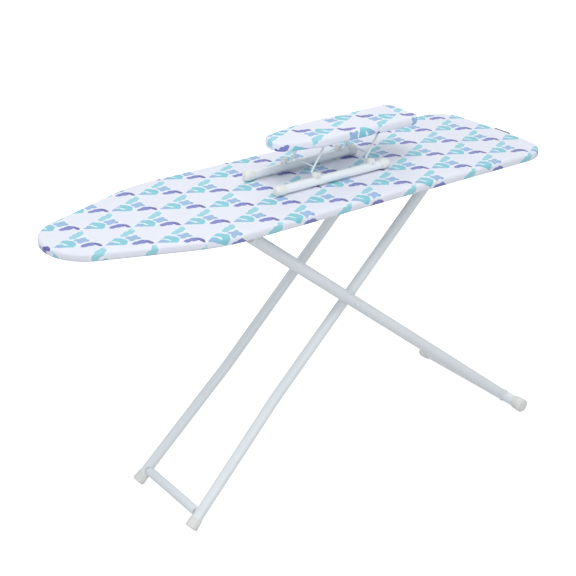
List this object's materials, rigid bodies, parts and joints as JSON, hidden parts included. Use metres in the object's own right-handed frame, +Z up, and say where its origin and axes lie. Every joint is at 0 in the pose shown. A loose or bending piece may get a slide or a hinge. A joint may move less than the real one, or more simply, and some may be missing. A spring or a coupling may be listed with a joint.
{
  "type": "sleeve ironing board",
  "caption": "Folding ironing board with crossed tube legs, a printed padded cover, and a lift-off sleeve board that folds on wire links.",
  "frame": {"origin": "on the floor, under the middle of the object's bounding box", "axes": "+Z up; +X from the rounded nose to the square tail; +Y across the board, away from the side where the T leg's tube runs"},
  "size_m": [1.2516, 0.3952, 0.835],
  "materials": {
    "white_paint": "satin white powder coat with a faint blue cast",
    "cap_plastic": "warm white moulded plastic, satin",
    "zinc_steel": "zinc plated, dull",
    "printed_cotton": "plain weave cotton, white ground with a blue and turquoise triangle print",
    "felt": "needle felt",
    "cord": "braided cotton cord",
    "woven_label": "dark woven tape, plain",
    "grey_plastic": "moulded, matt"
  },
  "bodies": {
    "board": {"board_cover": "printed_cotton", "board_pad": "felt", "board_mesh": "white_paint", "rim_tail": "white_paint", "rim_far": "white_paint", "rim_nose": "white_paint", "rim_near": "white_paint", "tail_brace": "white_paint", "mid_brace": "white_paint", "nose_brace": "white_paint", "cover_drawcord": "cord", "cover_toggle": "grey_plastic", "cover_tab": "woven_label", "hinge_bracket_near": "white_paint", "hinge_bracket_far": "white_paint", "height_rack_near": "white_paint", "height_rack_far": "white_paint", "lever_hanger_near": "white_paint", "lever_hanger_far": "white_paint", "lever_spring": "zinc_steel"},
    "lock_lever": {"lock_hook": "white_paint", "lever_rod": "zinc_steel", "lever_grip": "grey_plastic"},
    "u_leg": {"u_tube_near": "white_paint", "u_tube_far": "white_paint", "u_crossbar": "white_paint", "u_cap_near": "cap_plastic", "u_cap_far": "cap_plastic", "hinge_rod": "white_paint", "pivot_rod": "white_paint", "pivot_washer": "cap_plastic", "pivot_nut": "zinc_steel"},
    "t_leg": {"t_tube": "white_paint", "t_bar": "white_paint", "t_cap_near": "cap_plastic", "t_cap_far": "cap_plastic", "t_tube_plug": "cap_plastic", "catch_rod": "white_paint"},
    "sleeve_base": {"sleeve_tube_near": "white_paint", "sleeve_tube_far": "white_paint", "sleeve_cap_near_nose": "cap_plastic", "sleeve_cap_near_tail": "cap_plastic", "sleeve_cap_far_nose": "cap_plastic", "sleeve_cap_far_tail": "cap_plastic", "sleeve_saddle_near_front": "cap_plastic", "sleeve_saddle_near_rear": "cap_plastic", "sleeve_saddle_far_front": "cap_plastic", "sleeve_saddle_far_rear": "cap_plastic"},
    "front_link": {"front_link_wire": "white_paint", "front_link_tie": "white_paint"},
    "rear_link": {"rear_link_wire": "white_paint", "rear_link_tie": "white_paint"},
    "sleeve_deck": {"sleeve_deck_pan": "white_paint", "sleeve_pad": "felt", "sleeve_cover": "printed_cotton", "sleeve_drawcord": "cord", "deck_clip_front": "cap_plastic", "deck_clip_rear": "cap_plastic"}
  },
  "joints": [
    {"name": "u_leg_fold", "type": "hinge", "parent": "board", "child": "u_leg", "pos_m": [0.3152, 0.0026, 0.676], "axis": [0, 1, 0], "range_deg": [0, 42]},
    {"name": "t_leg_fold", "type": "hinge", "parent": "u_leg", "child": "t_leg", "pos_m": [0.07888, 0.0026, 0.44651], "axis": [0, 1, 0], "range_deg": [-80, 0]},
    {"name": "lock_lever_lift", "type": "hinge", "parent": "board", "child": "lock_lever", "pos_m": [-0.1402, 0.0026, 0.69], "axis": [0, 1, 0], "range_deg": [0, 8]},
    {"name": "sleeve_lift_off", "type": "slide", "parent": "board", "child": "sleeve_base", "axis": [0, 0, 1], "range_m": [0, 0.15]},
    {"name": "front_link_fold", "type": "hinge", "parent": "sleeve_base", "child": "front_link", "pos_m": [0.0068, -0.0114, 0.7545], "axis": [0, -1, 0], "range_deg": [0, 118]},
    {"name": "rear_link_fold", "type": "hinge", "parent": "sleeve_base", "child": "rear_link", "pos_m": [0.1618, -0.0114, 0.7545], "axis": [0, -1, 0], "range_deg": [0, 118]},
    {"name": "sleeve_deck_level", "type": "hinge", "parent": "front_link", "child": "sleeve_deck", "pos_m": [0.0428, -0.0114, 0.8075], "axis": [0, -1, 0], "range_deg": [-118, 0]}
  ],
  "couplings": [
    {"joint": "t_leg_fold", "follows": "u_leg_fold", "ratio": -1.8983},
    {"joint": "rear_link_fold", "follows": "front_link_fold", "ratio": 1},
    {"joint": "sleeve_deck_level", "follows": "front_link_fold", "ratio": -1}
  ]
}
